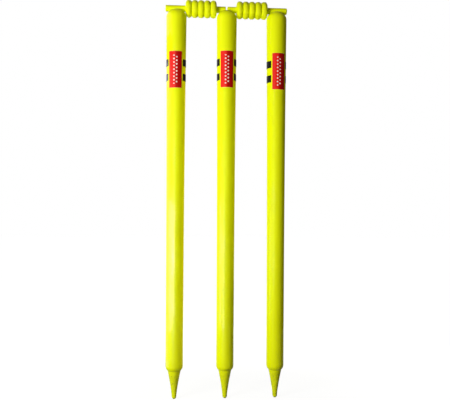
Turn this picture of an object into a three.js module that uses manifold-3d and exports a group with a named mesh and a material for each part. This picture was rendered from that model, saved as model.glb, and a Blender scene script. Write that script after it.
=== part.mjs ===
// Cricket stumps: one wicket of three turned wooden stumps with two turned bails lying in the
// grooves across their tops. Each stump carries a red label between two pairs of black stripes.
//
// Frame, in millimetres: +Z up, X along the wicket, Y through it. The origin is on the middle
// stump's axis at the ground line, where the shaft ends and the spike begins, so the spikes
// reach below zero and the labels face -Y.

import * as THREE from 'three';
import { mergeVertices } from 'three/addons/utils/BufferGeometryUtils.js';
import Module from 'manifold-3d';

// Wicket
const STUMP_SPACING = 95.25; // from axis to axis
const SEAT_GAP = 0.3; // left between two pieces that rest on each other

// Shaft
const STUMP_HEIGHT = 680; // ground line to the top of the dome
const SHAFT_TOP_RADIUS = 19.05;
const SHAFT_FOOT_RADIUS = 16.3;
const SWELL_POWER = 2.3; // how late the shaft swells towards its top
const DOME_HEIGHT = 16;
const SHOULDER_HEIGHT = 9; // the round stretch that brings the shaft in to its spike
const SHOULDER_DROP = 3.7; // how far the radius falls in that stretch
const SHOULDER_KNEE = 3.2; // height at which the shoulder turns in

// Spike
const SPIKE_LENGTH = 54;
const CREASE_DEPTH = 0.4; // the small step between the shoulder and the spike
const CREASE_HEIGHT = 0.7;
const POINT_RADIUS = 4.4; // where the round point begins
const POINT_HEIGHT = 5.5;
const HOLLOW_POWER = 1.3; // how hollow the sides of the spike are

// Bail
const SPIGOT_RADIUS = 6;
const SPIGOT_CHAMFER = 0.9;
const BAIL_RISE = 0.8; // bail axis above the top of the dome
const BAIL_PLAY = 1.3; // how far a bail can slide from its middle place to either dome
const LONG_SPIGOT_REACH = 19.5; // past the axis of the outer stump
const SHORT_SPIGOT_GAP = 0.9; // short of the axis of the middle stump
const BEAD_COUNT = 5;
const BEAD_RADIUS = 16.4; // the bail's radius over a bead
const BEAD_DEPTH = 4; // how deep the valleys between the beads are
const END_LENGTH = 5.9; // the outer half of an end bead, along the bail
const END_POWER = 1.4; // how round that half is: 2 is an ellipse, 1 a cone
const FLANK_STEP = 1.5; // the flat end of the barrel, standing out from the spigot

// Label and stripes
const FILM_THICKNESS = 0.3;
const LABEL_HEIGHT = 69;
const LABEL_WIDTH = 25.8; // round the shaft
const STRIPE_HEIGHT = 13.4;
const STRIPE_PITCH = 27.2; // from one stripe's middle to the other's
const STRIPE_LENGTH = 20.3; // round the shaft
const LABEL_STRIPE_GAP = 2.1;

// Place of each label, which was stuck on by hand: its top edge below the top of the dome, and how
// far it faces to the left of -Y
const LEFT_LABEL_DROP = 83.5;
const MIDDLE_LABEL_DROP = 80.8;
const RIGHT_LABEL_DROP = 83;
const LEFT_LABEL_TURN = THREE.MathUtils.degToRad(4.5);
const MIDDLE_LABEL_TURN = THREE.MathUtils.degToRad(1.5);
const RIGHT_LABEL_TURN = THREE.MathUtils.degToRad(-7);

// Smoothness
const STUMP_SIDES = 28;
const SHAFT_RINGS = 8;
const DOME_RINGS = 6;
const ROUND_RINGS = 3;
const SPIKE_RINGS = 5;
const BAIL_SIDES = 24;
const BEAD_STEPS = 6;
const END_STEPS = 6;
const FILM_STEPS = 8;

const DOME_FOOT_Z = STUMP_HEIGHT - DOME_HEIGHT;
const BAIL_AXIS_Z = STUMP_HEIGHT + BAIL_RISE;
const GROOVE_RADIUS = SPIGOT_RADIUS + SEAT_GAP;

const wasm = await Module();
wasm.setup();

const materials = {
  stump: { color: 0xdfee12, roughness: 0.35, metalness: 0 },
  bail: { color: 0xe2f016, roughness: 0.35, metalness: 0 },
  label: { color: 0xd8161a, roughness: 0.4, metalness: 0 },
  stripe: { color: 0x0b0b0c, roughness: 0.45, metalness: 0 },
};

/** A named piece with a material of its own. */
function piece(name, geometry, finish) {
  const mesh = new THREE.Mesh(geometry, new THREE.MeshStandardMaterial(materials[finish]));
  mesh.name = name;
  return mesh;
}

/** The shaft's radius at a height: it swells slowly at first, then faster towards the dome. */
function shaftRadius(z) {
  const share = (z - SHOULDER_HEIGHT) / (DOME_FOOT_Z - SHOULDER_HEIGHT);
  const swell = SHAFT_TOP_RADIUS - SHAFT_FOOT_RADIUS;
  return SHAFT_FOOT_RADIUS + swell * Math.max(share, 0) ** SWELL_POWER;
}

/** Calls place(share) at equal steps, from just after 0 up to 1. */
function steps(count, place) {
  return Array.from({ length: count }, (unused, i) => place((i + 1) / count));
}

/** Radius and height points of a stump, from the tip of its spike up to the top of its dome. */
function stumpProfile() {
  const point = (radius, z) => new THREE.Vector2(radius, z);
  const pointZ = POINT_HEIGHT - SPIKE_LENGTH;
  const shoulderRadius = SHAFT_FOOT_RADIUS - SHOULDER_DROP;
  const spikeHeight = -CREASE_HEIGHT - pointZ;
  const spikeSwell = shoulderRadius - CREASE_DEPTH - POINT_RADIUS;
  const shoulder = new THREE.QuadraticBezierCurve(
    point(shoulderRadius, 0),
    point(SHAFT_FOOT_RADIUS, SHOULDER_KNEE),
    point(SHAFT_FOOT_RADIUS, SHOULDER_HEIGHT),
  );
  return [
    point(0, -SPIKE_LENGTH),
    ...steps(ROUND_RINGS, (share) => {
      const turn = (share * Math.PI) / 2;
      return point(POINT_RADIUS * Math.sin(turn), pointZ - POINT_HEIGHT * Math.cos(turn));
    }),
    ...steps(SPIKE_RINGS, (share) =>
      point(POINT_RADIUS + spikeSwell * share ** HOLLOW_POWER, pointZ + spikeHeight * share),
    ),
    point(shoulderRadius, 0),
    ...steps(ROUND_RINGS, (share) => shoulder.getPoint(share)),
    ...steps(SHAFT_RINGS, (share) => {
      const z = SHOULDER_HEIGHT + (DOME_FOOT_Z - SHOULDER_HEIGHT) * share;
      return point(shaftRadius(z), z);
    }),
    ...steps(DOME_RINGS, (share) => {
      const turn = (share * Math.PI) / 2;
      const radius = share === 1 ? 0 : SHAFT_TOP_RADIUS * Math.cos(turn);
      return point(radius, DOME_FOOT_Z + DOME_HEIGHT * Math.sin(turn));
    }),
  ];
}

/** Turns a radius and height profile about Z. */
function turned(profile, sides) {
  return new THREE.LatheGeometry(profile, sides).rotateX(Math.PI / 2);
}

/** The closed solid inside a mesh. */
function solid(geometry) {
  const bare = geometry.clone();
  bare.deleteAttribute('normal');
  bare.deleteAttribute('uv');
  const merged = mergeVertices(bare);
  return new wasm.Manifold(
    new wasm.Mesh({
      numProp: 3,
      vertProperties: Float32Array.from(merged.attributes.position.array),
      triVerts: Uint32Array.from(merged.index.array),
    }),
  );
}

/** The mesh of a closed solid. */
function meshOf(manifold) {
  const { vertProperties, triVerts } = manifold.getMesh();
  const geometry = new THREE.BufferGeometry();
  geometry.setAttribute('position', new THREE.BufferAttribute(vertProperties, 3));
  geometry.setIndex(new THREE.BufferAttribute(triVerts, 1));
  geometry.computeVertexNormals();
  return geometry;
}

/** A stump with the round-bottomed groove for the bails cut across its dome, along X. */
function stumpGeometry() {
  const length = 2 * (SHAFT_TOP_RADIUS + SPIGOT_RADIUS);
  const groove = new THREE.CylinderGeometry(GROOVE_RADIUS, GROOVE_RADIUS, length, BAIL_SIDES);
  groove.rotateZ(Math.PI / 2).translate(0, 0, BAIL_AXIS_Z);
  return meshOf(solid(turned(stumpProfile(), STUMP_SIDES)).subtract(solid(groove)));
}

/** A film wrapped on the shaft: a curved plate between two angles, spread to the shaft's taper. */
function filmGeometry(middleZ, height, startAngle, endAngle) {
  const inner = shaftRadius(middleZ) + SEAT_GAP;
  const shape = new THREE.Shape();
  shape.absarc(0, 0, inner + FILM_THICKNESS, startAngle, endAngle, false);
  shape.absarc(0, 0, inner, endAngle, startAngle, true);
  const geometry = new THREE.ExtrudeGeometry(shape, {
    depth: height,
    bevelEnabled: false,
    curveSegments: FILM_STEPS,
  });
  geometry.translate(0, 0, middleZ - height / 2);
  const place = geometry.attributes.position;
  const point = new THREE.Vector3();
  for (let i = 0; i < place.count; i += 1) {
    point.fromBufferAttribute(place, i);
    const radius = Math.hypot(point.x, point.y);
    const spread = (radius + shaftRadius(point.z) - shaftRadius(middleZ)) / radius;
    place.setXYZ(i, point.x * spread, point.y * spread, point.z);
  }
  return geometry;
}

/** The label of one stump and the two pairs of stripes beside it. */
function films(side, drop, turn) {
  const middleZ = STUMP_HEIGHT - drop - LABEL_HEIGHT / 2;
  const radius = shaftRadius(middleZ);
  const facing = -Math.PI / 2 - turn;
  const labelHalf = LABEL_WIDTH / 2 / radius;
  const stripeStart = labelHalf + LABEL_STRIPE_GAP / radius;
  const stripeEnd = stripeStart + STRIPE_LENGTH / radius;
  const label = filmGeometry(middleZ, LABEL_HEIGHT, facing - labelHalf, facing + labelHalf);
  const group = new THREE.Group();
  group.add(piece(`${side}_label`, label, 'label'));
  for (const [level, up] of [['upper', 1], ['lower', -1]]) {
    const z = middleZ + (up * STRIPE_PITCH) / 2;
    const left = filmGeometry(z, STRIPE_HEIGHT, facing - stripeEnd, facing - stripeStart);
    const right = filmGeometry(z, STRIPE_HEIGHT, facing + stripeStart, facing + stripeEnd);
    group.add(piece(`${side}_stripe_${level}_left`, left, 'stripe'));
    group.add(piece(`${side}_stripe_${level}_right`, right, 'stripe'));
  }
  return group;
}

/** One stump with its films, standing at a place along the wicket. */
function stump(side, x, labelDrop, labelTurn) {
  const group = films(side, labelDrop, labelTurn);
  group.add(piece(`${side}_stump`, stumpGeometry(), 'stump'));
  group.position.x = x;
  return group;
}

/** The outer half of an end bead: radius, and distance in from the end of the barrel. */
function endFlank() {
  const flatRadius = SPIGOT_RADIUS + FLANK_STEP;
  const arc = steps(END_STEPS, (share) => {
    const turn = (share * Math.PI) / 2;
    const rise = Math.sin(turn) ** (2 / END_POWER);
    const inward = share === 1 ? 1 : 1 - Math.cos(turn) ** (2 / END_POWER);
    return new THREE.Vector2(flatRadius + (BEAD_RADIUS - flatRadius) * rise, END_LENGTH * inward);
  });
  return [new THREE.Vector2(SPIGOT_RADIUS, 0), new THREE.Vector2(flatRadius, 0), ...arc];
}

/** How near to a stump's axis the end of the barrel can come before its bead meets the dome. */
function nearestBarrelEnd() {
  const reach = endFlank().map(({ x: radius, y: inward }) => {
    const height = Math.max(BAIL_AXIS_Z - radius - DOME_FOOT_Z, 0);
    const share = Math.min(height / DOME_HEIGHT, 1);
    return SHAFT_TOP_RADIUS * Math.sqrt(1 - share ** 2) + SEAT_GAP - inward;
  });
  return Math.max(...reach);
}

/** Radius and length points of a bail, from the end of its long spigot to that of its short one. */
function bailProfile() {
  const point = (radius, along) => new THREE.Vector2(radius, along);
  const axisToBarrel = nearestBarrelEnd() + BAIL_PLAY;
  const half = STUMP_SPACING / 2 - axisToBarrel;
  const longEnd = -half - axisToBarrel - LONG_SPIGOT_REACH;
  const shortEnd = half + axisToBarrel - SHORT_SPIGOT_GAP;
  const firstCrest = -half + END_LENGTH;
  const pitch = (-2 * firstCrest) / (BEAD_COUNT - 1);
  const beadArc = ((pitch / 2) ** 2 + BEAD_DEPTH ** 2) / (2 * BEAD_DEPTH);
  const bead = (start) =>
    steps(BEAD_STEPS, (share) => {
      const off = pitch * Math.min(share, 1 - share);
      return point(BEAD_RADIUS - beadArc + Math.sqrt(beadArc ** 2 - off ** 2), start + pitch * share);
    });
  const innerBeads = Array.from({ length: BEAD_COUNT - 1 }, (unused, i) => bead(firstCrest + i * pitch));
  return [
    point(0, longEnd),
    point(SPIGOT_RADIUS - SPIGOT_CHAMFER, longEnd),
    point(SPIGOT_RADIUS, longEnd + SPIGOT_CHAMFER),
    ...endFlank().map(({ x: radius, y: inward }) => point(radius, inward - half)),
    ...innerBeads.flat(),
    ...endFlank().reverse().slice(1).map(({ x: radius, y: inward }) => point(radius, half - inward)),
    point(SPIGOT_RADIUS, shortEnd - SPIGOT_CHAMFER),
    point(SPIGOT_RADIUS - SPIGOT_CHAMFER, shortEnd),
    point(0, shortEnd),
  ];
}

/** A bail over one of the two gaps, with its long spigot on the outer stump. */
function bail(side, outward, slid) {
  const mesh = piece(`${side}_bail`, turned(bailProfile(), BAIL_SIDES), 'bail');
  mesh.rotation.y = (-outward * Math.PI) / 2;
  mesh.position.set((outward * STUMP_SPACING) / 2 + slid, 0, BAIL_AXIS_Z);
  return mesh;
}

const wicket = new THREE.Group();
wicket.add(stump('left', -STUMP_SPACING, LEFT_LABEL_DROP, LEFT_LABEL_TURN));
wicket.add(stump('middle', 0, MIDDLE_LABEL_DROP, MIDDLE_LABEL_TURN));
wicket.add(stump('right', STUMP_SPACING, RIGHT_LABEL_DROP, RIGHT_LABEL_TURN));
wicket.add(bail('left', -1, -BAIL_PLAY));
wicket.add(bail('right', 1, 0));

export default wicket;
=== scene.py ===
# %% [markdown]
# A wicket of three turned stumps and two bails, dressed for a studio picture. The construction is already
# settled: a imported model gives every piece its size, its place and its way of moving. This script builds the
# fine surface of each piece in that same frame, and adds the paint, the printed film, the light and the camera.
# Lengths are in metres, and MM turns the millimetres of a workshop drawing into them.

# %% Load the frame
import math

import bpy
import numpy as np
from mathutils import Matrix, Vector


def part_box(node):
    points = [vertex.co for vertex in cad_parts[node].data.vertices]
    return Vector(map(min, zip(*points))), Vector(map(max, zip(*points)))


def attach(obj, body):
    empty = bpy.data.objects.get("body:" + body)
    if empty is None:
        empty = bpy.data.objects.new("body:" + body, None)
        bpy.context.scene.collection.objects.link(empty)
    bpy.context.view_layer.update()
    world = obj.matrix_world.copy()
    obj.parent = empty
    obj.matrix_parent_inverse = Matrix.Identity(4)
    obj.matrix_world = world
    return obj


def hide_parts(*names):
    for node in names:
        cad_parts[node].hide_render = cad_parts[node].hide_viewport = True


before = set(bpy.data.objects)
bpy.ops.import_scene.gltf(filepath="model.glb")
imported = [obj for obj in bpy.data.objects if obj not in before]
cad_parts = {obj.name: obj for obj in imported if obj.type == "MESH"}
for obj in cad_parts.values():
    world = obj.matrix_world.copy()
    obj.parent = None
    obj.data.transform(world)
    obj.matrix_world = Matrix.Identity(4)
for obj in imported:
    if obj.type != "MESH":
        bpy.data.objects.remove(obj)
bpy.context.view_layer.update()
MM = 0.001

# %% [markdown]
# The camera comes first, because every later choice is judged through it. The picture shows the wicket almost
# square on, from a little over a metre, at the height of the middle of the shafts. The camera could be aimed
# with a tracking constraint, but a plain matrix of its right, up and backward directions keeps the small tilt
# exact.

# %% The camera
PHOTO_WIDTH = 450
FOCAL_PIXELS = 622.4
SENSOR_WIDTH = 36.0
CAMERA_PLACE = (-0.0877, -1.175, 0.3064)
CAMERA_YAW = math.radians(4.2)
CAMERA_PITCH = math.radians(0.65)
CAMERA_ROLL = math.radians(0.33)


def linked_object(name, data):
    """A new object in the scene, at the origin of the frame."""
    made = bpy.data.objects.new(name, data)
    bpy.context.collection.objects.link(made)
    return made


def make_camera():
    """Looks along the yaw and the pitch, then turns about that line by the roll."""
    forward = Vector((math.sin(CAMERA_YAW) * math.cos(CAMERA_PITCH),
                      math.cos(CAMERA_YAW) * math.cos(CAMERA_PITCH),
                      math.sin(CAMERA_PITCH)))
    level = Vector((math.cos(CAMERA_YAW), -math.sin(CAMERA_YAW), 0.0))
    upright = level.cross(forward)
    right = math.cos(CAMERA_ROLL) * level + math.sin(CAMERA_ROLL) * upright
    up = math.cos(CAMERA_ROLL) * upright - math.sin(CAMERA_ROLL) * level
    data = bpy.data.cameras.new("camera")
    data.sensor_width = SENSOR_WIDTH
    data.lens = FOCAL_PIXELS * SENSOR_WIDTH / PHOTO_WIDTH
    camera = linked_object("camera", data)
    place = Matrix((right, up, -forward)).transposed().to_4x4()
    place.translation = CAMERA_PLACE
    camera.matrix_world = place
    bpy.context.scene.camera = camera
    return camera


camera = make_camera()
print("camera: lens", round(camera.data.lens, 2), "mm")

# %% [markdown]
# Every stump is the same turned piece, so its sizes are written once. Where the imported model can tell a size,
# such as the height of the tip or the place of an axis, it is read from the node's box, so the two can't drift.

# %% Sizes of a stump
SIDES = ("left", "middle", "right")
TIP_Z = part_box("middle_stump")[0].z
APEX_Z = 680 * MM
TOP_RADIUS = 19.05 * MM
FOOT_RADIUS = 16.3 * MM
SWELL_POWER = 2.3
DOME_HEIGHT = 16 * MM
DOME_FOOT_Z = APEX_Z - DOME_HEIGHT
SHOULDER_HEIGHT = 9 * MM
SHOULDER_DROP = 3.7 * MM
SHOULDER_KNEE = 3.2 * MM
CREASE_DEPTH = 0.4 * MM
CREASE_HEIGHT = 0.7 * MM
POINT_RADIUS = 4.4 * MM
POINT_HEIGHT = 5.5 * MM
HOLLOW_POWER = 1.3


def stump_axis(side):
    """The middle of the stump's box along X, which is where its axis stands."""
    low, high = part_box(side + "_stump")
    return (low.x + high.x) / 2


def shaft_radius(z):
    """The foot radius plus a swell that grows with a power of the height, so the taper is gentle low down."""
    share = np.clip((z - SHOULDER_HEIGHT) / (DOME_FOOT_Z - SHOULDER_HEIGHT), 0, 1)
    return FOOT_RADIUS + (TOP_RADIUS - FOOT_RADIUS) * share ** SWELL_POWER


print("stump axes:", [round(stump_axis(side) / MM, 2) for side in SIDES], "tip", round(TIP_Z / MM, 1))

# %% [markdown]
# A mesh here is a grid of points that are worked out as whole arrays, joined by squares. A lathe could also be
# had with Blender's Screw modifier, but a grid made in numpy lets the groove, the dents and the wear be plain
# formulas on the same points. The two ends of a turned piece close in a fan on its axis.

# %% Meshes from grids
NO_TRIANGLES = np.zeros((0, 3), int)


def mesh_from_faces(name, points, squares, triangles, masks):
    """Makes a mesh from points, rows of four corners and rows of three, with each mask as a point attribute."""
    mesh = bpy.data.meshes.new(name)
    corners = np.concatenate([squares.ravel(), triangles.ravel()])
    starts = np.concatenate([4 * np.arange(len(squares)), squares.size + 3 * np.arange(len(triangles))])
    mesh.vertices.add(len(points))
    mesh.vertices.foreach_set("co", points.astype(np.float32).ravel())
    mesh.loops.add(len(corners))
    mesh.loops.foreach_set("vertex_index", corners.astype(np.int32))
    mesh.polygons.add(len(starts))
    mesh.polygons.foreach_set("loop_start", starts.astype(np.int32))
    mesh.polygons.foreach_set("use_smooth", np.ones(len(starts), bool))
    mesh.update(calc_edges=True)
    for mask, values in masks.items():
        mesh.attributes.new(mask, "FLOAT", "POINT").data.foreach_set("value", values.astype(np.float32))
    mesh.validate()
    return mesh


def turned_faces(rings, facets):
    """Squares between neighbouring rings, and a fan at each end. The first and the last point are the poles."""
    ring, facet = np.meshgrid(np.arange(rings - 1), np.arange(facets), indexing="ij")
    corner = 1 + ring * facets + facet
    across = 1 + ring * facets + (facet + 1) % facets
    squares = np.stack([corner, across, across + facets, corner + facets], -1).reshape(-1, 4)
    here = np.arange(facets)
    there = (here + 1) % facets
    top = 1 + (rings - 1) * facets
    first_fan = np.stack([np.zeros(facets, int), 1 + there, 1 + here], -1)
    last_fan = np.stack([np.full(facets, rings * facets + 1), top + here, top + there], -1)
    return squares, np.concatenate([first_fan, last_fan])


def smooth_least(a, b, reach):
    """The lesser of two heights, rounded where they come within reach of each other."""
    near = np.clip(1 - np.abs(a - b) / reach, 0, 1)
    return np.minimum(a, b) - near ** 2 * reach / 4


print("mesh helpers ready")

# %% [markdown]
# The profile of a stump runs from the tip of the spike to the crown of the dome. Each stretch has its own
# curve: a quarter ellipse for the blunt point, a power curve for the slightly hollow spike, a fine crease where
# the spike meets the shoulder, a quadratic curve for the shoulder, the swelling shaft, and a quarter ellipse
# for the dome.

# %% The profile of a stump
POINT_STEPS = 14
SPIKE_STEPS = 60
CREASE_STEPS = 8
SHOULDER_STEPS = 18
SHAFT_STEPS = 56
DOME_STEPS = 108


def shares(steps):
    """Equal steps from just after 0 up to 1."""
    return np.linspace(0, 1, steps + 1)[1:]


def point_stretch():
    """A quarter ellipse from the tip up to the widest part of the blunt point."""
    turn = np.pi / 2 * (shares(POINT_STEPS) - 1)
    return POINT_RADIUS * np.cos(turn), TIP_Z + POINT_HEIGHT * (1 + np.sin(turn))


def spike_stretch():
    """The radius grows with a power of the height, which makes the side of the spike slightly hollow."""
    share = shares(SPIKE_STEPS)
    root = FOOT_RADIUS - SHOULDER_DROP - CREASE_DEPTH
    foot_z = TIP_Z + POINT_HEIGHT
    radius = POINT_RADIUS + (root - POINT_RADIUS) * share ** HOLLOW_POWER
    return radius, foot_z - (CREASE_HEIGHT + foot_z) * share


def crease_stretch():
    """A half wave outwards from the root of the spike to the underside of the shoulder."""
    share = shares(CREASE_STEPS)
    root = FOOT_RADIUS - SHOULDER_DROP - CREASE_DEPTH
    return root + CREASE_DEPTH * (1 - np.cos(np.pi * share)) / 2, CREASE_HEIGHT * (share - 1)


def shoulder_stretch():
    """A quadratic curve that leaves the crease, bends at the knee and joins the shaft upright."""
    share = shares(SHOULDER_STEPS)
    start, knee, end = (1 - share) ** 2, 2 * share * (1 - share), share ** 2
    radius = start * (FOOT_RADIUS - SHOULDER_DROP) + (knee + end) * FOOT_RADIUS
    return radius, knee * SHOULDER_KNEE + end * SHOULDER_HEIGHT


def shaft_stretch():
    """Even steps up the shaft, on its swelling radius."""
    z = SHOULDER_HEIGHT + (DOME_FOOT_Z - SHOULDER_HEIGHT) * shares(SHAFT_STEPS)
    return shaft_radius(z), z


def dome_stretch():
    """A quarter ellipse from the shaft's full radius up to the crown, short of the pole itself."""
    turn = np.pi / 2 * shares(DOME_STEPS)[:-1]
    return TOP_RADIUS * np.cos(turn), DOME_FOOT_Z + DOME_HEIGHT * np.sin(turn)


STRETCHES = [point_stretch(), spike_stretch(), crease_stretch(),
             shoulder_stretch(), shaft_stretch(), dome_stretch()]
PROFILE_RADIUS = np.concatenate([radius for radius, _ in STRETCHES])
PROFILE_Z = np.concatenate([z for _, z in STRETCHES])
print("profile:", len(PROFILE_Z), "rings")

# %% [markdown]
# The groove that holds the bails runs straight across the dome. It could be cut with a Boolean modifier, but
# that leaves sharp rims and long thin faces. Here each point of the dome that lies under the groove is lowered
# to the groove's round bottom, and a smooth minimum rounds the rim as sanding and paint do. Close to the rim a
# mask is kept for the wear. Another mask covers the groove, the lip just in front of it and the crease above
# the spike. There the colour is darkened as painted shade, and the paint is made duller.

# %% The stump's surface
STUMP_FACETS = 320
BAIL_AXIS_Z = (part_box("left_bail")[0].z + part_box("left_bail")[1].z) / 2
GROOVE_RADIUS = 6.3 * MM
RIM_ROUNDING = 1.1 * MM
RIM_WEAR_REACH = 0.9 * MM
SPIKE_FADE = 9 * MM
# Painted shade: how much the crease above the spike is darkened in colour
CREASE_SHADE = 0.06
LIP_SHADE = 0.5 * MM
DENT_DEPTH = 0.06 * MM
DENT_TURNS = 3
DENT_CROSS_TURNS = 5
DENT_LENGTH = 38 * MM


def stump_mesh(side):
    """Turns the profile about the stump's axis, dents the spike a little and sinks the groove into the dome."""
    turn = np.linspace(0, 2 * np.pi, STUMP_FACETS, endpoint=False)
    z = np.repeat(PROFILE_Z[:, None], STUMP_FACETS, 1)
    spike = np.clip(-z / SPIKE_FADE, 0, 1)
    phase = 2 * np.pi * z / DENT_LENGTH + SIDES.index(side)
    dents = np.sin(DENT_TURNS * turn + phase) * np.sin(DENT_CROSS_TURNS * turn - phase / 2)
    radius = PROFILE_RADIUS[:, None] - DENT_DEPTH * spike * (1 + dents) / 2
    x = stump_axis(side) + radius * np.cos(turn)
    y = radius * np.sin(turn)
    depth = np.sqrt(np.maximum(GROOVE_RADIUS ** 2 - y ** 2, 0))
    floor_z = BAIL_AXIS_Z - depth + np.maximum(np.abs(y) - GROOVE_RADIUS, 0)
    rim = np.exp(-((z - floor_z) / RIM_WEAR_REACH) ** 2) * (z > DOME_FOOT_Z)
    # Painted shade: the groove, the lip in front of it and the crease get a darker colour through this mask
    hollow = np.clip((z - floor_z + LIP_SHADE) / RIM_WEAR_REACH, 0, 1)
    crease = CREASE_SHADE * np.exp(-((z + CREASE_HEIGHT / 2) / CREASE_HEIGHT) ** 2)
    z = smooth_least(z, floor_z, RIM_ROUNDING)
    rings = np.stack([x, y, z], -1).reshape(-1, 3)
    first_pole = [[stump_axis(side), 0, TIP_Z]]
    last_pole = [[stump_axis(side), 0, BAIL_AXIS_Z - GROOVE_RADIUS]]
    masks = {
        "rim": np.concatenate([[0], rim.ravel(), [0]]),
        "hollow": np.concatenate([[0], np.maximum(hollow, crease).ravel(), [1]]),
        "spike": np.concatenate([[1], spike.ravel(), [0]]),
    }
    squares, fans = turned_faces(len(PROFILE_Z), STUMP_FACETS)
    points = np.concatenate([first_pole, rings, last_pole])
    return mesh_from_faces(side + "_stump_painted", points, squares, fans, masks)


def show_piece(name, mesh, body, slot, *nodes):
    """Puts a finished mesh in the scene, rides it on its body and hides the nodes it stands for."""
    piece = linked_object(name, mesh)
    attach(piece, body)
    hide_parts(*nodes)
    return piece


stumps = [show_piece(side + "_stump_painted", stump_mesh(side), side + "_stump", "stump_paint", side + "_stump")
          for side in SIDES]
print("stumps:", [len(piece.data.polygons) for piece in stumps], "faces")

# %% [markdown]
# A bail is turned too, about the line that joins the grooves. Its profile is a long spigot, a barrel of five
# round beads and a short spigot. The sharp outline is worked out first, densely, and then softened with a
# running average along its length, which rounds the ends, fills the valleys a little and leaves the same
# paint-thick edge everywhere.

# %% The profile of a bail
SPIGOT_RADIUS = 6 * MM
SPIGOT_CHAMFER = 0.9 * MM
BEAD_COUNT = 5
BEAD_RADIUS = 16.4 * MM
BEAD_DEPTH = 4 * MM
END_LENGTH = 5.9 * MM
END_POWER = 2.4
RUBBED_POWER = 1.4
RUBBED_FROM, RUBBED_TO = 0.75, 0.95
FLANK_RADIUS = 7.5 * MM
AXIS_TO_BARREL = 18.17 * MM
BAIL_SLIDE = {"left": -1.3 * MM, "right": 0.0}
EDGE_SOFTENING = 0.28 * MM
OUTLINE_STEP = 0.04 * MM
BELL_REACH = 4


def barrel_outline(start, end):
    """Quarter ellipses that meet in valleys between the crests. Each end is a curve squarer than an ellipse."""
    along = np.arange(start, end, OUTLINE_STEP)
    first_crest = start + END_LENGTH
    pitch = (end - start - 2 * END_LENGTH) / (BEAD_COUNT - 1)
    crest = np.clip(np.round((along - first_crest) / pitch), 0, BEAD_COUNT - 1)
    off = np.minimum(np.abs(along - first_crest - crest * pitch) / (pitch / 2), 1)
    bead = BEAD_RADIUS - BEAD_DEPTH * (1 - np.sqrt(1 - off ** 2))
    inset = np.minimum(np.minimum(along - start, end - along) / END_LENGTH, 1)
    flank = FLANK_RADIUS + (BEAD_RADIUS - FLANK_RADIUS) * (1 - (1 - inset) ** END_POWER) ** (1 / END_POWER)
    return along, np.where(inset < 1, flank, bead)


def resampled(along, radius, step):
    """Points at an even step of distance along a polyline."""
    travelled = np.concatenate([[0], np.cumsum(np.hypot(np.diff(along), np.diff(radius)))])
    even = np.linspace(0, travelled[-1], int(travelled[-1] / step))
    return np.interp(even, travelled, along), np.interp(even, travelled, radius)


def softened(values, mirror_sign):
    """A running average with a bell of weights. The outline goes on past the axis as its own mirror image."""
    reach = int(BELL_REACH * EDGE_SOFTENING / OUTLINE_STEP)
    bell = np.exp(-0.5 * (np.arange(-reach, reach + 1) * OUTLINE_STEP / EDGE_SOFTENING) ** 2)
    before = mirror_sign * values[reach:0:-1]
    after = mirror_sign * values[-2:-reach - 2:-1]
    return np.convolve(np.concatenate([before, values, after]), bell / bell.sum(), "valid")


def bail_outline(side):
    """Places along X and radii, from the left end to the right: an end face, a spigot, the barrel, a spigot."""
    low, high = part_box(side + "_bail")
    outwards = -1 if side == "left" else 1
    ends = (outwards * (abs(stump_axis(side)) - AXIS_TO_BARREL) + BAIL_SLIDE[side],
            outwards * AXIS_TO_BARREL + BAIL_SLIDE[side])
    start, end = min(ends), max(ends)
    barrel_x, barrel_radius = barrel_outline(start, end)
    bevel = SPIGOT_RADIUS - SPIGOT_CHAMFER
    x = np.concatenate([[low.x, low.x, low.x + SPIGOT_CHAMFER, start], barrel_x,
                        [end, end, high.x - SPIGOT_CHAMFER, high.x, high.x]])
    radius = np.concatenate([[0, bevel, SPIGOT_RADIUS, SPIGOT_RADIUS], barrel_radius,
                             [FLANK_RADIUS, SPIGOT_RADIUS, SPIGOT_RADIUS, bevel, 0]])
    x, radius = resampled(x, radius, OUTLINE_STEP)
    return softened(x, 1), softened(radius, -1)


OUTLINES = {side: bail_outline(side) for side in ("left", "right")}
for side, (along, _) in OUTLINES.items():
    print(side, "bail: from", round(along[0] / MM, 2), "to", round(along[-1] / MM, 2), "mm")

# %% [markdown]
# The outline has far more points than a mesh needs, so it is thinned to even steps before it is turned. Two
# masks go with it again: the crests of the beads, where hands and the ground rub, and the valleys, which are
# darkened as painted shade and made duller. The left bail has slid against its stump, and there the lower edge
# of its barrel is rubbed back off the dome.

# %% The bail's surface
BAIL_FACETS = 144
BAIL_STEP = 0.36 * MM
CREST_BAND = 0.1 * MM
VALLEY_SHADE = 0.1


def rubbed_back(x, radius, turn):
    """Lowest on the left end of the barrel, moves the flank in to a curve between an ellipse and a cone."""
    start = stump_axis("left") + AXIS_TO_BARREL + BAIL_SLIDE["left"]
    rise = np.clip((radius - FLANK_RADIUS) / (BEAD_RADIUS - FLANK_RADIUS), 0, 1)
    hollower = start + END_LENGTH * (1 - (1 - rise ** RUBBED_POWER) ** (1 / RUBBED_POWER))
    share = np.clip((-np.sin(turn) - RUBBED_FROM) / (RUBBED_TO - RUBBED_FROM), 0, 1)
    share = share ** 2 * (3 - 2 * share)
    return x + share * np.where(x > start, np.maximum(hollower - x, 0), 0)


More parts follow.
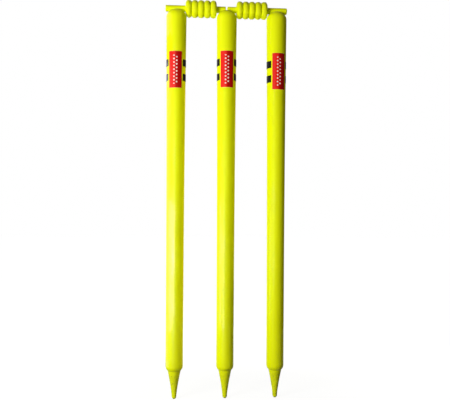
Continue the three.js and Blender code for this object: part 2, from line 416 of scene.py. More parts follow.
def bail_mesh(side):
    """Turns the softened outline about the line through the grooves."""
    x, radius = resampled(*OUTLINES[side], BAIL_STEP)
    x, radius = x[1:-1], radius[1:-1]
    crests = x[radius > BEAD_RADIUS - CREST_BAND]
    between_crests = (x > crests.min()) & (x < crests.max())
    above_valley = np.maximum(radius - BEAD_RADIUS + BEAD_DEPTH, 0)
    rim = np.clip((radius - BEAD_RADIUS) / RIM_WEAR_REACH + 1, 0, 1)
    # Painted shade: the valleys between the beads get a darker colour through this mask
    hollow = VALLEY_SHADE * between_crests * np.exp(-above_valley / RIM_WEAR_REACH)
    turn = np.linspace(0, 2 * np.pi, BAIL_FACETS, endpoint=False)
    y = radius[:, None] * np.cos(turn)
    z = BAIL_AXIS_Z + radius[:, None] * np.sin(turn)
    place = np.repeat(x[:, None], BAIL_FACETS, 1)
    if side == "left":
        place = rubbed_back(place, radius[:, None], turn)
    rings = np.stack([place, y, z], -1).reshape(-1, 3)
    poles = [[[OUTLINES[side][0][end], 0, BAIL_AXIS_Z]] for end in (0, -1)]
    masks = {
        "rim": np.concatenate([[0], np.repeat(rim, BAIL_FACETS), [0]]),
        "hollow": np.concatenate([[0], np.repeat(hollow, BAIL_FACETS), [0]]),
    }
    squares, fans = turned_faces(len(x), BAIL_FACETS)
    points = np.concatenate([poles[0], rings, poles[1]])
    return mesh_from_faces(side + "_bail_painted", points, squares, fans, masks)


bails = [show_piece(side + "_bail_painted", bail_mesh(side), side + "_bail", "bail_paint", side + "_bail")
         for side in ("left", "right")]
print("bails:", [len(piece.data.polygons) for piece in bails], "faces")

# %% [markdown]
# The labels and stripes are thin films wrapped on the shaft. A flat plane with a Shrinkwrap modifier would do
# it, but here each film is two sheets of one grid, an outer and an inner one, that share their border, bent
# round the shaft and following its taper. The grid's corners are pulled in to an arc, and its edge is rounded
# over the film's thickness, so a fine line of light runs round it. Its UV map goes from 0 to 1 across and up
# the film.

# %% Films on the shaft
FILM_LIFT = 0.03 * MM
FILM_THICKNESS = 0.27 * MM
LABEL_WIDTH = 25.8 * MM
LABEL_STRIPE_GAP = 2.1 * MM
STRIPE_LENGTH = 20.3 * MM
FACING = {"left": math.radians(-94.5), "middle": math.radians(-91.5), "right": math.radians(-83)}
LABEL_CORNER = 0.7 * MM
STRIPE_CORNER = 0.9 * MM
EDGE_SHARES = np.array([0, 0.04, 0.15, 0.31, 0.5, 0.75, 1])
LABEL_GRID = (40, 88)
STRIPE_GRID = (32, 22)
HANDS = (("left", -1), ("right", 1))


def grid_line(half, steps):
    """Places from -half to half: close together over the rounded edge, then even."""
    edge = EDGE_SHARES * FILM_THICKNESS
    inner = np.linspace(-half + edge[-1], half - edge[-1], steps)
    return np.concatenate([edge[:-1] - half, inner, half - edge[-2::-1]])


def round_corners(u, v, half_u, half_v, corner):
    """Presses the square at each corner of the sheet into a quarter disc of the corner's radius."""
    over_u = np.clip((np.abs(u) - (half_u - corner)) / corner, 0, 1)
    over_v = np.clip((np.abs(v) - (half_v - corner)) / corner, 0, 1)
    pressed_u = over_u * np.sqrt(1 - over_v ** 2 / 2)
    pressed_v = over_v * np.sqrt(1 - over_u ** 2 / 2)
    return u - np.sign(u) * corner * (over_u - pressed_u), v - np.sign(v) * corner * (over_v - pressed_v)


def squares_of(corners):
    """Squares of a grid of corner numbers, each listed anticlockwise seen from outside."""
    return np.stack([corners[:-1, :-1], corners[:-1, 1:], corners[1:, 1:], corners[1:, :-1]], -1).reshape(-1, 4)


def film_mesh(name, side, middle_u, width, low_z, high_z, corner, grid):
    """Bends a rounded sheet round the shaft: u is a length of arc from the label's middle and v a height."""
    half_u, half_v = width / 2, (high_z - low_z) / 2
    middle_z = (high_z + low_z) / 2
    flat_u, flat_v = np.meshgrid(grid_line(half_u, grid[0]), grid_line(half_v, grid[1]))
    inset = np.minimum(half_u - np.abs(flat_u), half_v - np.abs(flat_v)) / FILM_THICKNESS
    rise = np.sqrt(1 - (1 - np.clip(inset, 0, 1)) ** 2)
    u, v = round_corners(flat_u, flat_v, half_u, half_v, corner)
    turn = FACING[side] + (middle_u + u) / shaft_radius(middle_z)
    sheets = []
    for lift in (FILM_LIFT + FILM_THICKNESS * rise, FILM_LIFT):
        radius = shaft_radius(middle_z + v) + lift
        place = [stump_axis(side) + radius * np.cos(turn), radius * np.sin(turn), middle_z + v]
        sheets.append(np.stack(place, -1).reshape(-1, 3))
    index = np.arange(u.size).reshape(u.shape)
    under = index + u.size
    under[[0, -1], :] = index[[0, -1], :]
    under[:, [0, -1]] = index[:, [0, -1]]
    faces = np.concatenate([squares_of(index), squares_of(under)[:, ::-1]])
    used, faces = np.unique(faces, return_inverse=True)
    faces = faces.reshape(-1, 4)
    mesh = mesh_from_faces(name, np.concatenate(sheets)[used], faces, NO_TRIANGLES, {})
    across = np.stack([u / width + 0.5, v / (high_z - low_z) + 0.5], -1).reshape(-1, 2)
    uv = np.concatenate([across, across])[used][faces.ravel()]
    mesh.uv_layers.new(name="print").data.foreach_set("uv", uv.astype(np.float32).ravel())
    return mesh


def add_film(side, node, middle_u, width, corner, grid, slot):
    """A film that stands for one node, with its heights read from the node's box."""
    low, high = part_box(node)
    mesh = film_mesh(node + "_film", side, middle_u, width, low.z, high.z, corner, grid)
    return show_piece(node + "_film", mesh, side + "_stump", slot, node)


labels = [add_film(side, side + "_label", 0.0, LABEL_WIDTH, LABEL_CORNER, LABEL_GRID, "label_film")
          for side in SIDES]
STRIPE_MIDDLE = LABEL_WIDTH / 2 + LABEL_STRIPE_GAP + STRIPE_LENGTH / 2
stripes = [add_film(side, side + "_stripe_" + level + "_" + hand, way * STRIPE_MIDDLE, STRIPE_LENGTH,
                    STRIPE_CORNER, STRIPE_GRID, "stripe_film")
           for side in SIDES for level in ("upper", "lower") for hand, way in HANDS]
print("films:", len(labels), "labels and", len(stripes), "stripes")

# %% [markdown]
# Materials are graphs of small nodes. These helpers keep the graphs short to write: a value or another node's
# output can be given for any socket, and each arithmetic step is one call.

# %% Helpers for node graphs
NOISE_LOW, NOISE_HIGH = 0.3, 0.7
MIX_SHARE, MIX_FIRST, MIX_SECOND, MIX_RESULT = 0, 6, 7, 2


def plug(tree, value, socket):
    """Links an output to a socket, or writes a plain value on it."""
    if isinstance(value, bpy.types.NodeSocket):
        tree.links.new(value, socket)
    else:
        socket.default_value = value


def add_node(tree, kind, settings=(), **inputs):
    """A node with its settings, and its inputs by name, with _ for a space."""
    node = tree.nodes.new(kind)
    for name, value in dict(settings).items():
        setattr(node, name, value)
    for name, value in inputs.items():
        plug(tree, value, node.inputs[name.replace("_", " ")])
    return node


def arithmetic(tree, operation, *values, clamp=False):
    """One step of arithmetic on numbers."""
    node = add_node(tree, "ShaderNodeMath", {"operation": operation, "use_clamp": clamp})
    for value, socket in zip(values, node.inputs):
        plug(tree, value, socket)
    return node.outputs[0]


def stretched(tree, vector, scale):
    """Coordinates multiplied along each axis, which squeezes or stretches a pattern."""
    node = add_node(tree, "ShaderNodeVectorMath", {"operation": "MULTIPLY"})
    plug(tree, vector, node.inputs[0])
    plug(tree, scale, node.inputs[1])
    return node.outputs[0]


def ramp(tree, value, low, high, start=0.0, end=1.0):
    """Goes smoothly from start to end as a value goes from low to high."""
    node = add_node(tree, "ShaderNodeMapRange", {"interpolation_type": "SMOOTHSTEP", "clamp": True},
                    Value=value, From_Min=low, From_Max=high, To_Min=start, To_Max=end)
    return node.outputs[0]


def noise(tree, vector, scale, detail=2.0, roughness=0.5):
    """Smooth noise, spread from its usual 0.3 to 0.7 to fill 0 to 1."""
    node = add_node(tree, "ShaderNodeTexNoise", Vector=vector, Scale=scale, Detail=detail, Roughness=roughness)
    return ramp(tree, node.outputs["Fac"], NOISE_LOW, NOISE_HIGH)


def mixed(tree, share, first, second):
    """A mix of two colours by a share."""
    node = add_node(tree, "ShaderNodeMix", {"data_type": "RGBA"})
    plug(tree, share, node.inputs[MIX_SHARE])
    plug(tree, first, node.inputs[MIX_FIRST])
    plug(tree, second, node.inputs[MIX_SECOND])
    return node.outputs[MIX_RESULT]


def new_group(name, inputs, outputs):
    """A shader node group with named sockets. Returns the group, its inputs and its output node."""
    tree = bpy.data.node_groups.new(name, "ShaderNodeTree")
    for label, kind in inputs:
        tree.interface.new_socket(label, in_out="INPUT", socket_type="NodeSocket" + kind)
    for label, kind in outputs:
        tree.interface.new_socket(label, in_out="OUTPUT", socket_type="NodeSocket" + kind)
    return tree, tree.nodes.new("NodeGroupInput").outputs, tree.nodes.new("NodeGroupOutput")


def place_group(tree, group, **inputs):
    """Puts a group in a material with its own values."""
    node = tree.nodes.new("ShaderNodeGroup")
    node.node_tree = group
    for name, value in inputs.items():
        plug(tree, value, node.inputs[name.replace("_", " ")])
    return node.outputs


print("node helpers ready")

# %% [markdown]
# Paint on turned wood is never quite flat. Three layers show through it: rings from the gouge and the sandpaper
# that run round the piece, open pores that run along the grain, and the soft waves of the sprayed paint itself.
# The group expects coordinates whose Z runs along the turned axis, and gives a height for a Bump node and a
# tone for the colour.

# %% Node group: the skin of painted, turned wood
RING_STRETCH = (30.0, 30.0, 900.0)
GRAIN_STRETCH = (900.0, 900.0, 22.0)
TONE_STRETCH = (120.0, 120.0, 6.0)
WAVE_SCALE = 160.0


def make_turned_skin():
    """Rings: noise squeezed along Z. Grain: noise stretched along Z. Waves: even noise of about 6 mm."""
    tree, given, result = new_group(
        "turned_skin",
        [("Vector", "Vector"), ("Rings", "Float"), ("Grain", "Float"), ("Waves", "Float")],
        [("Height", "Float"), ("Tone", "Float")])
    rings = noise(tree, stretched(tree, given["Vector"], RING_STRETCH), 1.0, detail=3.0)
    grain = noise(tree, stretched(tree, given["Vector"], GRAIN_STRETCH), 1.0, detail=3.0)
    waves = noise(tree, given["Vector"], WAVE_SCALE, detail=1.0)
    height = arithmetic(tree, "MULTIPLY", rings, given["Rings"])
    height = arithmetic(tree, "MULTIPLY_ADD", grain, given["Grain"], height)
    height = arithmetic(tree, "MULTIPLY_ADD", waves, given["Waves"], height)
    long_tone = noise(tree, stretched(tree, given["Vector"], TONE_STRETCH), 1.0)
    plug(tree, height, result.inputs["Height"])
    plug(tree, long_tone, result.inputs["Tone"])
    return tree


turned_skin = make_turned_skin()
print("group:", turned_skin.name)

# %% [markdown]
# Use rubs the paint thin on rims and crests, so it is paler and smoother there. In the groove, the crease and
# the valleys the colour is darkened as painted shade, and the paint is made duller. One group does both from
# the masks that the meshes carry.

# %% Node group: wear on edges and painted shade in hollows
PATCH_SCALE = 210.0
SMUDGE_SCALE = 34.0
PATCHY = 0.6
RUBBED_PATCHES = (0.35, 0.8)
RUBBED_SHARES = (0.05, 0.35)
SHADE_AND_POOL_SHARES = (0.45, 0.75)
TONE_SHARE = 0.08
SMUDGE_ROUGHNESS = 0.07
POOLED_ROUGHNESS = 0.22
RUBBED_ROUGHNESS = -0.1


def make_wear_and_shade():
    """Mixes the paint towards a pale tone by the rim mask, and towards a deep one as painted shade by the
    hollow mask.
    """
    tree, given, result = new_group(
        "rub_pool_and_shade",
        [("Vector", "Vector"), ("Color", "Color"), ("Pale", "Color"), ("Deep", "Color"), ("Rim", "Float"),
         ("Hollow", "Float"), ("Tone", "Float"), ("Gloss", "Float")],
        [("Color", "Color"), ("Roughness", "Float")])
    patches = noise(tree, given["Vector"], PATCH_SCALE, detail=3.0, roughness=PATCHY)
    rubbed = arithmetic(tree, "MULTIPLY", given["Rim"], ramp(tree, patches, *RUBBED_PATCHES, *RUBBED_SHARES))
    # Painted shade in the hollows, which also makes the paint duller there
    shaded_and_pooled = arithmetic(tree, "MULTIPLY", given["Hollow"], ramp(tree, patches, 0.0, 1.0, *SHADE_AND_POOL_SHARES))
    streaked = arithmetic(tree, "MULTIPLY", given["Tone"], TONE_SHARE)
    colour = mixed(tree, streaked, given["Color"], given["Deep"])
    colour = mixed(tree, shaded_and_pooled, colour, given["Deep"])
    colour = mixed(tree, rubbed, colour, given["Pale"])
    smudge = noise(tree, given["Vector"], SMUDGE_SCALE, detail=3.0, roughness=PATCHY)
    rough = arithmetic(tree, "MULTIPLY_ADD", smudge, SMUDGE_ROUGHNESS, given["Gloss"])
    rough = arithmetic(tree, "MULTIPLY_ADD", shaded_and_pooled, POOLED_ROUGHNESS, rough)
    rough = arithmetic(tree, "MULTIPLY_ADD", rubbed, RUBBED_ROUGHNESS, rough, clamp=True)
    plug(tree, colour, result.inputs["Color"])
    plug(tree, rough, result.inputs["Roughness"])
    return tree


rub_pool_and_shade = make_wear_and_shade()
print("group:", rub_pool_and_shade.name)

# %% [markdown]
# Fine specks of grit sit where the spikes meet the ground, and specks of dust on the black stripes. Cells of a
# Voronoi texture give each speck its own place, and the cell's own colour decides whether it holds a speck at
# all.

# %% Node group: specks
SPECK_CORE = 0.7


def make_specks():
    """A speck is where the distance to the cell's point is short, in the share of cells that Amount gives."""
    tree, given, result = new_group(
        "specks",
        [("Vector", "Vector"), ("Scale", "Float"), ("Size", "Float"), ("Amount", "Float")],
        [("Mask", "Float")])
    cells = add_node(tree, "ShaderNodeTexVoronoi", Vector=given["Vector"], Scale=given["Scale"], Randomness=1.0)
    near = arithmetic(tree, "DIVIDE", cells.outputs["Distance"], given["Size"])
    spot = ramp(tree, near, SPECK_CORE, 1.0, 1.0, 0.0)
    drawn = add_node(tree, "ShaderNodeSeparateColor", Color=cells.outputs["Color"])
    chosen = arithmetic(tree, "LESS_THAN", drawn.outputs["Red"], given["Amount"])
    plug(tree, arithmetic(tree, "MULTIPLY", spot, chosen), result.inputs["Mask"])
    return tree


specks = make_specks()
print("group:", specks.name)

# %% [markdown]
# The paint is a fluorescent yellow under a thin clear coat. Its blue is almost nothing, which is what makes
# such a yellow glow on a screen. The stumps and the bails take the same graph: only the direction of the turned
# axis, the strength of the rings and the spike's dirt differ.

# %% Materials: the paint
YELLOW = (0.86, 0.93, 0.002, 1.0)
YELLOW_PALE = (0.92, 0.95, 0.02, 1.0)
# The deep yellow serves the random tone of the paint and the painted shade in the groove, crease and valleys
YELLOW_DEEP = (0.45, 0.43, 0.002, 1.0)
SPIKE_YELLOW = (0.73, 0.78, 0.006, 1.0)
GRIT = (0.17, 0.13, 0.02, 1.0)
STUMP_RINGS, BAIL_RINGS = 0.3, 0.6
GRAIN, WAVES = 0.35, 0.5
PAINT_GLOSS = 0.3
SPIKE_PATCH_SCALE = 95.0
SPIKE_DULLED = (0.35, 0.95)
SPIKE_ROUGHNESS = 0.16
GRIT_SCALE, GRIT_SIZE, GRIT_AMOUNT = 420.0, 0.3, 0.16
GRIT_SHARE = 0.7
SKIN_STRENGTH = 0.35
SKIN_DEPTH = 0.06 * MM
PAINT_MIRROR = 0.02
COAT_WEIGHT = 0.08
COAT_ROUGHNESS = 0.06


def new_material(name, colour):
    """An empty material with its plain colour for the viewport. Returns it, its tree and its shader."""
    material = bpy.data.materials.new(name)
    material.diffuse_color = colour
    material.use_nodes = True
    tree = material.node_tree
    return material, tree, tree.nodes["Principled BSDF"]


def attribute(tree, name):
    """A mask that the mesh carries."""
    return add_node(tree, "ShaderNodeAttribute", {"attribute_name": name}).outputs["Fac"]


def set_shader(tree, shader, colour, rough, mirror, height, strength, depth):
    """Gives the shader its colour, its roughness, its share of mirroring and the bumps of a height."""
    bump = add_node(tree, "ShaderNodeBump", Height=height, Strength=strength, Distance=depth)
    plug(tree, colour, shader.inputs["Base Color"])
    plug(tree, rough, shader.inputs["Roughness"])
    plug(tree, mirror, shader.inputs["Specular IOR Level"])
    plug(tree, bump.outputs[0], shader.inputs["Normal"])


def paint_material(name, axis_turn, rings, spiked):
    """Yellow paint: skin, wear, and on a stump the duller spike with its specks."""
    material, tree, shader = new_material(name, YELLOW)
    place = add_node(tree, "ShaderNodeTexCoord").outputs["Object"]
    turned = add_node(tree, "ShaderNodeMapping", Vector=place, Rotation=(0.0, axis_turn, 0.0)).outputs[0]
    skin = place_group(tree, turned_skin, Vector=turned, Rings=rings, Grain=GRAIN, Waves=WAVES)
    worn = place_group(tree, rub_pool_and_shade, Vector=place, Color=YELLOW, Pale=YELLOW_PALE, Deep=YELLOW_DEEP,
                       Rim=attribute(tree, "rim"), Hollow=attribute(tree, "hollow"),
                       Tone=skin["Tone"], Gloss=PAINT_GLOSS)
    colour, rough = worn["Color"], worn["Roughness"]
    if spiked:
        spike = attribute(tree, "spike")
        patches = noise(tree, place, SPIKE_PATCH_SCALE, detail=4.0, roughness=PATCHY)
        dulled = arithmetic(tree, "MULTIPLY", spike, ramp(tree, patches, 0.0, 1.0, *SPIKE_DULLED))
        colour = mixed(tree, dulled, colour, SPIKE_YELLOW)
        rough = arithmetic(tree, "MULTIPLY_ADD", spike, SPIKE_ROUGHNESS, rough)
        grit = place_group(tree, specks, Vector=place, Scale=GRIT_SCALE, Size=GRIT_SIZE, Amount=GRIT_AMOUNT)
        gritty = arithmetic(tree, "MULTIPLY", arithmetic(tree, "MULTIPLY", grit["Mask"], spike), GRIT_SHARE)
        colour = mixed(tree, gritty, colour, GRIT)
    set_shader(tree, shader, colour, rough, PAINT_MIRROR, skin["Height"], SKIN_STRENGTH, SKIN_DEPTH)
    shader.inputs["Coat Weight"].default_value = COAT_WEIGHT
    shader.inputs["Coat Roughness"].default_value = COAT_ROUGHNESS
    return material


stump_paint = paint_material("stump_paint", 0.0, STUMP_RINGS, True)
bail_paint = paint_material("bail_paint", math.pi / 2, BAIL_RINGS, False)
print("materials:", stump_paint.name, bail_paint.name)

# %% [markdown]
# The labels are printed red on a pale film, with a narrow unprinted margin. The right half of the red is
# darker as painted shade, on the side away from the main lamps. The print is a plain one of this lesson's own:
# two staggered columns of round dots. All of it is worked out from the film's UV map turned into millimetres
# from the middle, so it stays crisp at any distance.
# The places and sizes of the margin and the dots below are in those millimetres.

# %% Materials: the red labels
RED = (0.86, 0.018, 0.010, 1.0)
# The darker red is painted shade for the label's right side
RED_SHADED = (0.46, 0.002, 0.002, 1.0)
RED_DEEP = (0.52, 0.008, 0.006, 1.0)
SHADE_HALF = 2.2
PRINT_WHITE = (0.90, 0.80, 0.74, 1.0)
FILM_CREAM = (0.92, 0.72, 0.18, 1.0)
MARGIN = 0.35
DOT_RADIUS = 1.45
DOT_COLUMN = 2.5
DOT_PITCH = 6.6
DOT_LIMIT = 27.2
SOFT = 0.12
LABEL_TONE_SCALE = 60.0
LABEL_GLOSS = 0.34
LABEL_MIRROR = 0.08
PRINT_STRENGTH = 0.3
PRINT_DEPTH = 0.02 * MM


def label_material():
    """Red film: margin by the distance to the edge, painted shade by the place across, dots by rounding the
    height.
    """
    material, tree, shader = new_material("label_film", RED)
    low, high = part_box("middle_label")
    width, height = LABEL_WIDTH / MM, (high.z - low.z) / MM
    uv = add_node(tree, "ShaderNodeUVMap", {"uv_map": "print"}).outputs[0]
    place = add_node(tree, "ShaderNodeMapping", Vector=uv, Scale=(width, height, 1.0),
                     Location=(-width / 2, -height / 2, 0.0))
    parts = add_node(tree, "ShaderNodeSeparateXYZ", Vector=place.outputs[0])
    across, up = parts.outputs[0], parts.outputs[1]
    from_middle = arithmetic(tree, "ABSOLUTE", across)
    to_side = arithmetic(tree, "SUBTRACT", width / 2, from_middle)
    to_end = arithmetic(tree, "SUBTRACT", height / 2, arithmetic(tree, "ABSOLUTE", up))
    to_edge = arithmetic(tree, "MINIMUM", to_side, to_end)
    margin = ramp(tree, to_edge, MARGIN - SOFT, MARGIN + SOFT, 1.0, 0.0)
    right_side = arithmetic(tree, "GREATER_THAN", across, 0.0)
    level = arithmetic(tree, "MULTIPLY_ADD", right_side, DOT_PITCH / 2, up)
    row = arithmetic(tree, "ROUND", arithmetic(tree, "DIVIDE", level, DOT_PITCH))
    off_row = arithmetic(tree, "MULTIPLY_ADD", row, -DOT_PITCH, level)
    off_column = arithmetic(tree, "SUBTRACT", from_middle, DOT_COLUMN)
    squared = arithmetic(tree, "MULTIPLY", off_column, off_column)
    squared = arithmetic(tree, "MULTIPLY_ADD", off_row, off_row, squared)
    dots = ramp(tree, arithmetic(tree, "SQRT", squared), DOT_RADIUS - SOFT, DOT_RADIUS + SOFT, 1.0, 0.0)
    within = arithmetic(tree, "LESS_THAN", arithmetic(tree, "ABSOLUTE", up), DOT_LIMIT)
    printed = arithmetic(tree, "MULTIPLY", dots, within)
    # Painted shade: the red turns darker from the middle to the right side of the label
    red = mixed(tree, ramp(tree, across, -SHADE_HALF, SHADE_HALF), RED, RED_SHADED)
    body_place = add_node(tree, "ShaderNodeTexCoord").outputs["Object"]
    tone = noise(tree, body_place, LABEL_TONE_SCALE, detail=3.0)
    worn = place_group(tree, rub_pool_and_shade, Vector=body_place, Color=red, Pale=PRINT_WHITE, Deep=RED_DEEP,
                       Rim=margin, Hollow=0.0, Tone=tone, Gloss=LABEL_GLOSS)
    colour = mixed(tree, printed, worn["Color"], PRINT_WHITE)
    colour = mixed(tree, margin, colour, FILM_CREAM)
    set_shader(tree, shader, colour, worn["Roughness"], LABEL_MIRROR, printed, PRINT_STRENGTH, PRINT_DEPTH)
    return material


label_film = label_material()
print("material:", label_film.name)

# %% [markdown]
# The stripes are black film of the same kind. A pure black would look like a hole, so a little dust and a slow
# change of gloss give the eye something to hold.

# %% Materials: the black stripes
BLACK = (0.003, 0.003, 0.003, 1.0)
BLACK_DUSTY = (0.016, 0.016, 0.014, 1.0)
STRIPE_TONE_SCALE = 80.0
STRIPE_GLOSS = 0.3
STRIPE_MIRROR = 0.1
DUST_SCALE, DUST_SIZE, DUST_AMOUNT = 900.0, 0.2, 0.12
DUST_SHARE = 0.5
WRINKLE_SCALE = 500.0
WRINKLE_STRENGTH = 0.2
WRINKLE_DEPTH = 0.02 * MM


def stripe_material():
    """Black film with a thin, uneven dust and a few specks."""
    material, tree, shader = new_material("stripe_film", BLACK)
    place = add_node(tree, "ShaderNodeTexCoord").outputs["Object"]
    tone = noise(tree, place, STRIPE_TONE_SCALE, detail=4.0)
    worn = place_group(tree, rub_pool_and_shade, Vector=place, Color=BLACK, Pale=BLACK_DUSTY, Deep=BLACK_DUSTY,
                       Rim=0.0, Hollow=0.0, Tone=tone, Gloss=STRIPE_GLOSS)
    dust = place_group(tree, specks, Vector=place, Scale=DUST_SCALE, Size=DUST_SIZE, Amount=DUST_AMOUNT)
    dusty = arithmetic(tree, "MULTIPLY", dust["Mask"], DUST_SHARE)
    colour = mixed(tree, dusty, worn["Color"], BLACK_DUSTY)
    wrinkles = noise(tree, place, WRINKLE_SCALE)
    set_shader(tree, shader, colour, worn["Roughness"], STRIPE_MIRROR,
               wrinkles, WRINKLE_STRENGTH, WRINKLE_DEPTH)
    return material


stripe_film = stripe_material()
DRESSED = ((stumps, stump_paint), (bails, bail_paint), (labels, label_film), (stripes, stripe_film))
for pieces, material in DRESSED:
    for piece in pieces:
        piece.data.materials.append(material)
print("painted:", len(stumps) + len(bails) + len(labels) + len(stripes), "pieces")

# %% [markdown]
# The studio is white all round. The world and the floor show white to the camera and in reflections, but they
# light the paint only a little, so the shaft can fall off into shade on one side. The floor is partly a plain
# diffuse surface, which keeps the soft shadows of the spikes.

# %% The white studio
WHITE = (1.0, 1.0, 1.0, 1.0)
AMBIENT = 0.05
AMBIENT_COLOUR = (1.0, 0.95, 0.8, 1.0)
FLOOR_HALF = 6.0
FLOOR_SHADE = (0.12, 0.12, 0.12, 1.0)
FLOOR_GLOW = 0.92
GLOW_FROM, GLOW_TO = 0.12, 0.5


def seen_or_mirrored(tree):
    """1 for rays from the camera and for reflected and refracted rays."""
    path = add_node(tree, "ShaderNodeLightPath").outputs
    mirrored = arithmetic(tree, "MAXIMUM", path["Is Glossy Ray"], path["Is Transmission Ray"])
    return arithmetic(tree, "MAXIMUM", path["Is Camera Ray"], mirrored)


def make_world():
    """White where it is seen, and a dim warm light otherwise."""
    world = bpy.data.worlds.new("studio")
    bpy.context.scene.world = world
    world.use_nodes = True
    tree = world.node_tree
    tree.nodes.clear()
    dim = add_node(tree, "ShaderNodeBackground", Color=AMBIENT_COLOUR, Strength=AMBIENT)
    white = add_node(tree, "ShaderNodeBackground", Color=WHITE, Strength=1.0)
    mix = tree.nodes.new("ShaderNodeMixShader")
    plug(tree, seen_or_mirrored(tree), mix.inputs[0])
    plug(tree, dim.outputs[0], mix.inputs[1])
    plug(tree, white.outputs[0], mix.inputs[2])
    output = tree.nodes.new("ShaderNodeOutputWorld")
    plug(tree, mix.outputs[0], output.inputs["Surface"])


def make_floor():
    """A plane at the spikes' tips: a grey diffuse surface plus a glow that only seen and mirrored rays meet.
    The glow is a little weaker near the spikes, where the lamps make up the rest, so their shadow shows.
    """
    corners = FLOOR_HALF * np.array([[-1, -1], [1, -1], [1, 1], [-1, 1]])
    points = np.column_stack([corners, np.full(4, TIP_Z)])
    mesh = mesh_from_faces("floor", points, np.array([[0, 1, 2, 3]]), NO_TRIANGLES, {})
    floor = linked_object("floor", mesh)
    material = bpy.data.materials.new("floor")
    material.use_nodes = True
    tree = material.node_tree
    tree.nodes.clear()
    shade = add_node(tree, "ShaderNodeBsdfDiffuse", Color=FLOOR_SHADE)
    place = add_node(tree, "ShaderNodeTexCoord").outputs["Object"]
    distance = add_node(tree, "ShaderNodeVectorMath", {"operation": "LENGTH"})
    plug(tree, place, distance.inputs[0])
    strength = ramp(tree, distance.outputs["Value"], GLOW_FROM, GLOW_TO, FLOOR_GLOW, 1.0)
    glow = add_node(tree, "ShaderNodeEmission", Color=WHITE,
                    Strength=arithmetic(tree, "MULTIPLY", seen_or_mirrored(tree), strength))
    total = tree.nodes.new("ShaderNodeAddShader")
    plug(tree, shade.outputs[0], total.inputs[0])
    plug(tree, glow.outputs[0], total.inputs[1])
    output = tree.nodes.new("ShaderNodeOutputMaterial")
    plug(tree, total.outputs[0], output.inputs["Surface"])
    mesh.materials.append(material)


make_world()
make_floor()
print("studio: ambient", AMBIENT, "floor at", round(TIP_Z / MM, 1), "mm")

# %% [markdown]
# A wicket with shiny paint shows every lamp as a stripe, so the panels are of two kinds. The first kind lights
# the paint and isn't mirrored. Two soft panels at the left of the camera do most of the work, one for the upper
# half of the shafts and one, further round, for the lower half. They give the bright left flanks and the long
# fall into shade. Two weak fills stand at the front right, a far warm one and a near one for the middle
# heights, and two panels behind light the far edges and the back. Thin strips to the right of the left and the
# middle shaft stand in for the light that bright paint throws on its neighbour. The second kind is only
# mirrored. Two narrow strips draw the thin streak down each shaft: a long one as tall as the wicket, and a low
# one for the lower half, turned away from the right shaft with a narrow beam. Four panels close beside the left
# shaft give its pale sheen. One big softbox would be simpler, but it would give every shaft the same light, and
# the picture shows them unlike.

# %% The lamps
PLAIN = (1.0, 1.0, 1.0)
WARM = (1.0, 0.86, 0.55)
YELLOWISH = (1.0, 1.0, 0.5)
CREAM = (1.0, 0.97, 0.9)
BOUNCED = (1.0, 0.8, 0.3)
SHEEN_SPREAD = math.radians(70)
STREAK_SPREAD = math.radians(48)
STREAK_AIM = math.radians(-12)


def add_panel(name, azimuth, distance, middle_z, width, height, power,
              colour=PLAIN, beside=None, mirrored=False):
    """An upright rectangle of light that faces the middle of the wicket, or the axis of the stump it is beside.
    Azimuth 0 is the camera's side and 90 is +X. A mirrored panel shows in the gloss and lights nothing.
    """
    data = bpy.data.lights.new(name, "AREA")
    data.shape = "RECTANGLE"
    data.size = width
    data.size_y = height
    data.energy = power
    data.color = colour
    lamp = linked_object(name, data)
    angle = math.radians(azimuth)
    centre_x = stump_axis(beside) if beside else 0.0
    lamp.location = (centre_x + distance * math.sin(angle), -distance * math.cos(angle), middle_z)
    lamp.rotation_euler = (math.pi / 2, 0.0, angle)
    lamp.visible_camera = False
    lamp.visible_glossy = mirrored
    lamp.visible_diffuse = not mirrored
    return lamp


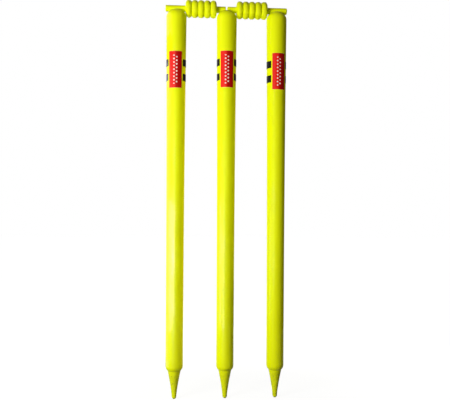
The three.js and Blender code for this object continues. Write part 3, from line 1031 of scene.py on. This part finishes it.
# The numbers are the azimuth, the distance, the height of the middle, the width, the height and the power.
panels = [
    add_panel("key_high", -40, 1.1, 0.5, 0.5, 0.36, 6.9),
    add_panel("key_low", -50, 1.1, 0.34, 0.5, 0.32, 6.7),
    add_panel("fill", 36, 1.35, 0.45, 0.6, 0.6, 0.5, WARM),
    add_panel("fill_near", 34, 0.55, 0.28, 0.12, 0.2, 0.18, YELLOWISH),
    add_panel("left_rear", -168, 1.2, 0.38, 0.4, 0.9, 4.0),
    add_panel("right_rear", 172, 0.7, 0.38, 0.3, 0.9, 2.4, CREAM),
    add_panel("streak_long", -26.5, 0.62, 0.35, 0.02, 0.8, 4.6, mirrored=True),
    add_panel("streak_low", -26.5, 0.62, 0.146, 0.02, 0.39, 2.4, mirrored=True),
    add_panel("left_bounce", 90, 0.055, 0.29, 0.02, 0.6, 0.075, BOUNCED, beside="left"),
    add_panel("middle_bounce", 90, 0.055, 0.38, 0.02, 0.42, 0.03, BOUNCED, beside="middle"),
    add_panel("sheen_low", -85, 0.06, 0.25, 0.1, 0.22, 0.5, beside="left", mirrored=True),
    add_panel("sheen_wide", -85, 0.06, 0.29, 0.1, 0.6, 1.3, beside="left", mirrored=True),
    add_panel("sheen_high", -85, 0.06, 0.675, 0.1, 0.07, 0.14, beside="left", mirrored=True),
    add_panel("sheen_front", -56, 0.07, 0.19, 0.08, 0.25, 0.4, beside="left", mirrored=True),
]
lamps = {panel.name: panel for panel in panels}
lamps["streak_low"].rotation_euler.z = STREAK_AIM
lamps["streak_low"].data.spread = STREAK_SPREAD
lamps["sheen_front"].data.spread = SHEEN_SPREAD
print("lamps:", list(lamps))

# %% [markdown]
# A brown card out of the picture to the right keeps white light and white reflections off the shaded flanks, as
# a studio flag does, and the gloss picks up its warm tone there. It is a stage object that the camera doesn't
# see.

# %% The brown card
CARD_RADIUS = 0.75
CARD_FROM, CARD_TO = 30, 176
CARD_COLOUR = (0.3, 0.24, 0.1, 1.0)
CARD_HEIGHT = 0.95
CARD_STEPS = 24


def make_card():
    """A curved sheet round the right of the wicket, between two azimuths."""
    angle = np.radians(np.linspace(CARD_FROM, CARD_TO, CARD_STEPS))
    x, y = CARD_RADIUS * np.sin(angle), -CARD_RADIUS * np.cos(angle)
    foot = np.column_stack([x, y, np.full(CARD_STEPS, TIP_Z)])
    points = np.concatenate([foot, foot + [0, 0, CARD_HEIGHT]])
    here = np.arange(CARD_STEPS - 1)
    squares = np.stack([here, here + 1, here + 1 + CARD_STEPS, here + CARD_STEPS], -1)
    mesh = mesh_from_faces("brown_card", points, squares, NO_TRIANGLES, {})
    card = linked_object("brown_card", mesh)
    card.visible_camera = False
    material, _, shader = new_material("brown_card", CARD_COLOUR)
    shader.inputs["Base Color"].default_value = CARD_COLOUR
    shader.inputs["Roughness"].default_value = 1.0
    shader.inputs["Specular IOR Level"].default_value = 0.0
    mesh.materials.append(material)


make_card()
bpy.context.scene.view_settings.view_transform = "Standard"
print("card: from", CARD_FROM, "to", CARD_TO, "degrees")
